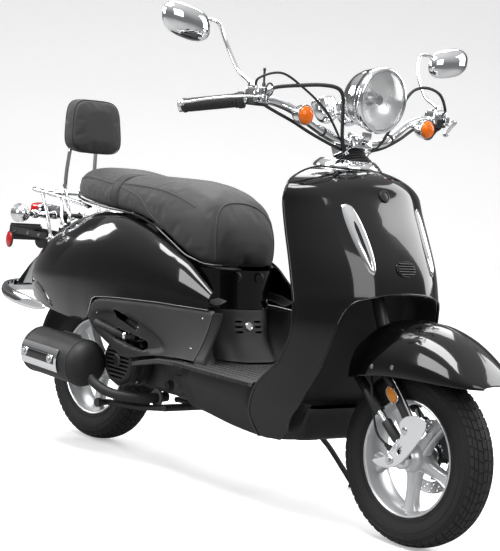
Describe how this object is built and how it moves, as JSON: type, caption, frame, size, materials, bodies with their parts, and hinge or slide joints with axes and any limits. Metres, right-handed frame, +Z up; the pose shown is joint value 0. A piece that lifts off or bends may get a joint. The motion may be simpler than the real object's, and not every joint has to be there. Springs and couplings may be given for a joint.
{
  "type": "moped scooter",
  "caption": "Step-through moped scooter with trailing-link fork, swing engine unit, dual seat, rear rack and backrest, on its side stand.",
  "frame": {"origin": "on the ground, on the centre plane, under the middle of the overall length", "axes": "+Z up, -Y forward, +X to the rider's left"},
  "size_m": [1.076, 1.9882, 1.2401],
  "materials": {
    "gloss_paint": "polished black lacquer",
    "matt_plastic": "grained black moulding",
    "chrome": "mirror chrome plate",
    "black_steel": "satin black powder coat",
    "alloy": "silver painted alloy",
    "cast": "sand-cast aluminium",
    "tyre": "moulded tyre rubber",
    "grip": "ribbed rubber",
    "seat_cover": "fine grained vinyl",
    "red_lens": "prismatic red lens",
    "exhaust": "heat-proof matt black"
  },
  "bodies": {
    "chassis": {"leg_shield": "gloss_paint", "inner_shield": "matt_plastic", "shield_collar": "chrome", "floorboard": "matt_plastic", "belly_cover": "matt_plastic", "cowl_right": "gloss_paint", "cowl_left": "gloss_paint", "skirt_right": "matt_plastic", "skirt_left": "matt_plastic", "pedestal_lower": "matt_plastic", "pedestal_upper": "gloss_paint", "rear_bumper": "chrome", "rack": "chrome", "backrest_pad": "seat_cover", "frame": "black_steel", "fuel_tank": "matt_plastic", "rear_mudguard": "matt_plastic", "tail_bracket": "black_steel", "tail_light": "red_lens", "rear_signal_right": "chrome", "rear_signal_left": "chrome", "shield_trim_right": "chrome", "shield_trim_left": "chrome", "rear_shock_upper": "black_steel", "rear_spring": "chrome"},
    "steering": {"steering_fork": "black_steel", "front_fender": "gloss_paint", "handlebar": "chrome", "control_block_right": "chrome", "control_block_left": "chrome", "left_grip": "grip", "headlight": "chrome", "gauge_pods": "chrome", "front_signal_right": "chrome", "front_signal_left": "chrome"},
    "front_link": {"front_link_right": "chrome", "front_link_left": "chrome", "front_axle": "black_steel", "brake_caliper": "cast"},
    "front_wheel": {"front_tyre": "tyre", "front_rim": "alloy", "brake_disc": "alloy"},
    "front_shock_rods": {"front_shock_right": "alloy", "front_shock_left": "alloy"},
    "engine_unit": {"engine_case": "cast", "fan_cover": "matt_plastic", "muffler": "exhaust", "heat_shield": "chrome"},
    "rear_wheel": {"rear_tyre": "tyre", "rear_rim": "alloy"},
    "fan": {"cooling_fan": "cast"},
    "rear_shock_rod": {"rear_shock_lower": "black_steel"},
    "seat": {"seat": "seat_cover"},
    "throttle": {"throttle_grip": "grip"},
    "lever_right": {"brake_lever_right": "chrome"},
    "lever_left": {"brake_lever_left": "chrome"},
    "mirror_right": {"mirror_right": "chrome"},
    "mirror_left": {"mirror_left": "chrome"},
    "centre_stand": {"centre_stand": "black_steel"},
    "side_stand": {"side_stand": "black_steel"}
  },
  "joints": [
    {"name": "steering", "type": "hinge", "parent": "chassis", "child": "steering", "pos_m": [0, -0.4149, 0.95], "axis": [0, 0.4067, 0.9135], "range_deg": [-32, 32], "stiffness_Nm_per_rad": 30},
    {"name": "front_suspension", "type": "hinge", "parent": "steering", "child": "front_link", "pos_m": [0, -0.8079, 0.292], "axis": [1, 0, 0], "range_deg": [-4, 18], "stiffness_Nm_per_rad": 900},
    {"name": "front_shock", "type": "slide", "parent": "steering", "child": "front_shock_rods", "axis": [0, 0.7671, 0.6415], "range_m": [-0.006, 0.02]},
    {"name": "front_wheel", "type": "hinge", "parent": "front_link", "child": "front_wheel", "pos_m": [0, -0.7699, 0.216], "axis": [1, 0, 0], "continuous": true},
    {"name": "rear_suspension", "type": "hinge", "parent": "chassis", "child": "engine_unit", "pos_m": [0, 0.0051, 0.25], "axis": [1, 0, 0], "range_deg": [-2, 4.5], "stiffness_Nm_per_rad": 20000},
    {"name": "rear_shock", "type": "slide", "parent": "chassis", "child": "rear_shock_rod", "axis": [0, 0, 1], "range_m": [-0.017, 0.038], "deforming": ["rear_spring"]},
    {"name": "rear_wheel", "type": "hinge", "parent": "engine_unit", "child": "rear_wheel", "pos_m": [0, 0.5101, 0.216], "axis": [1, 0, 0], "continuous": true},
    {"name": "cooling_fan", "type": "hinge", "parent": "engine_unit", "child": "fan", "pos_m": [-0.1, 0.2321, 0.282], "axis": [1, 0, 0], "continuous": true},
    {"name": "seat_hinge", "type": "hinge", "parent": "chassis", "child": "seat", "pos_m": [0, -0.0779, 0.592], "axis": [1, 0, 0], "range_deg": [0, 65]},
    {"name": "throttle", "type": "hinge", "parent": "steering", "child": "throttle", "pos_m": [-0.345, -0.3919, 1.026], "axis": [0.6297, -0.7529, 0.1916], "range_deg": [0, 75]},
    {"name": "brake_lever_right", "type": "hinge", "parent": "steering", "child": "lever_right", "pos_m": [-0.328, -0.4484, 1.036], "axis": [0, 0, 1], "range_deg": [-7, 0]},
    {"name": "brake_lever_left", "type": "hinge", "parent": "steering", "child": "lever_left", "pos_m": [0.328, -0.4484, 1.036], "axis": [0, 0, 1], "range_deg": [0, 7]},
    {"name": "mirror_right", "type": "hinge", "parent": "steering", "child": "mirror_right", "pos_m": [-0.333, -0.4019, 1.07], "axis": [0, 0, 1], "range_deg": [-25, 25]},
    {"name": "mirror_left", "type": "hinge", "parent": "steering", "child": "mirror_left", "pos_m": [0.333, -0.4019, 1.07], "axis": [0, 0, 1], "range_deg": [-25, 25]},
    {"name": "centre_stand", "type": "hinge", "parent": "engine_unit", "child": "centre_stand", "pos_m": [0, 0.0851, 0.172], "axis": [1, 0, 0], "range_deg": [-100, 0], "stiffness_Nm_per_rad": 6, "springref_deg": 5.73},
    {"name": "side_stand", "type": "hinge", "parent": "chassis", "child": "side_stand", "pos_m": [0.147, -0.2799, 0.165], "axis": [1, 0, 0], "range_deg": [0, 100], "stiffness_Nm_per_rad": 5, "springref_deg": -11.46}
  ],
  "couplings": [
    {"joint": "front_shock", "follows": "front_suspension", "m_per_rad": 0.054156},
    {"joint": "rear_shock", "follows": "rear_suspension", "m_per_rad": 0.465}
  ]
}
